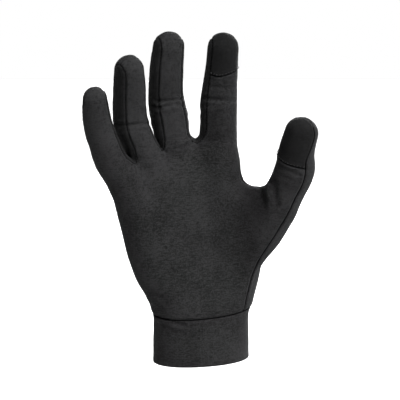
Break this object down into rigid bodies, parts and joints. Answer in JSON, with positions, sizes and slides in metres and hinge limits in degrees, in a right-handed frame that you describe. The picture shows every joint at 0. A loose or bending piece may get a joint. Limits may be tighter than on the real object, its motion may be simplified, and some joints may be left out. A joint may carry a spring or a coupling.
{
  "type": "glove liner",
  "caption": "thin stretch-knit right-hand glove liner in its worn form, hollow, with side strips between the fingers, darker fingertip pads and a doubled cuff",
  "frame": {"origin": "centre of the wrist opening, at the cuff's folded lower edge", "axes": "+Z from the wrist opening towards the fingertips, +X towards the thumb side, -Y is the way the palm faces"},
  "size_m": [0.1623, 0.0757, 0.2385],
  "materials": {
    "knit": "black brushed stretch knit, soft matt",
    "tip_pad": "darker close touch-screen knit, matt",
    "side_strip": "black stretch knit, matt",
    "cuff_knit": "black brushed stretch knit, folded double"
  },
  "bodies": {
    "root": {"palm_panel": "knit", "back_panel": "knit", "index_tip_pad": "tip_pad", "thumb_tip_pad": "tip_pad", "side_strip_little_ring": "side_strip", "side_strip_ring_middle": "side_strip", "side_strip_middle_index": "side_strip", "cuff": "cuff_knit"}
  },
  "joints": []
}
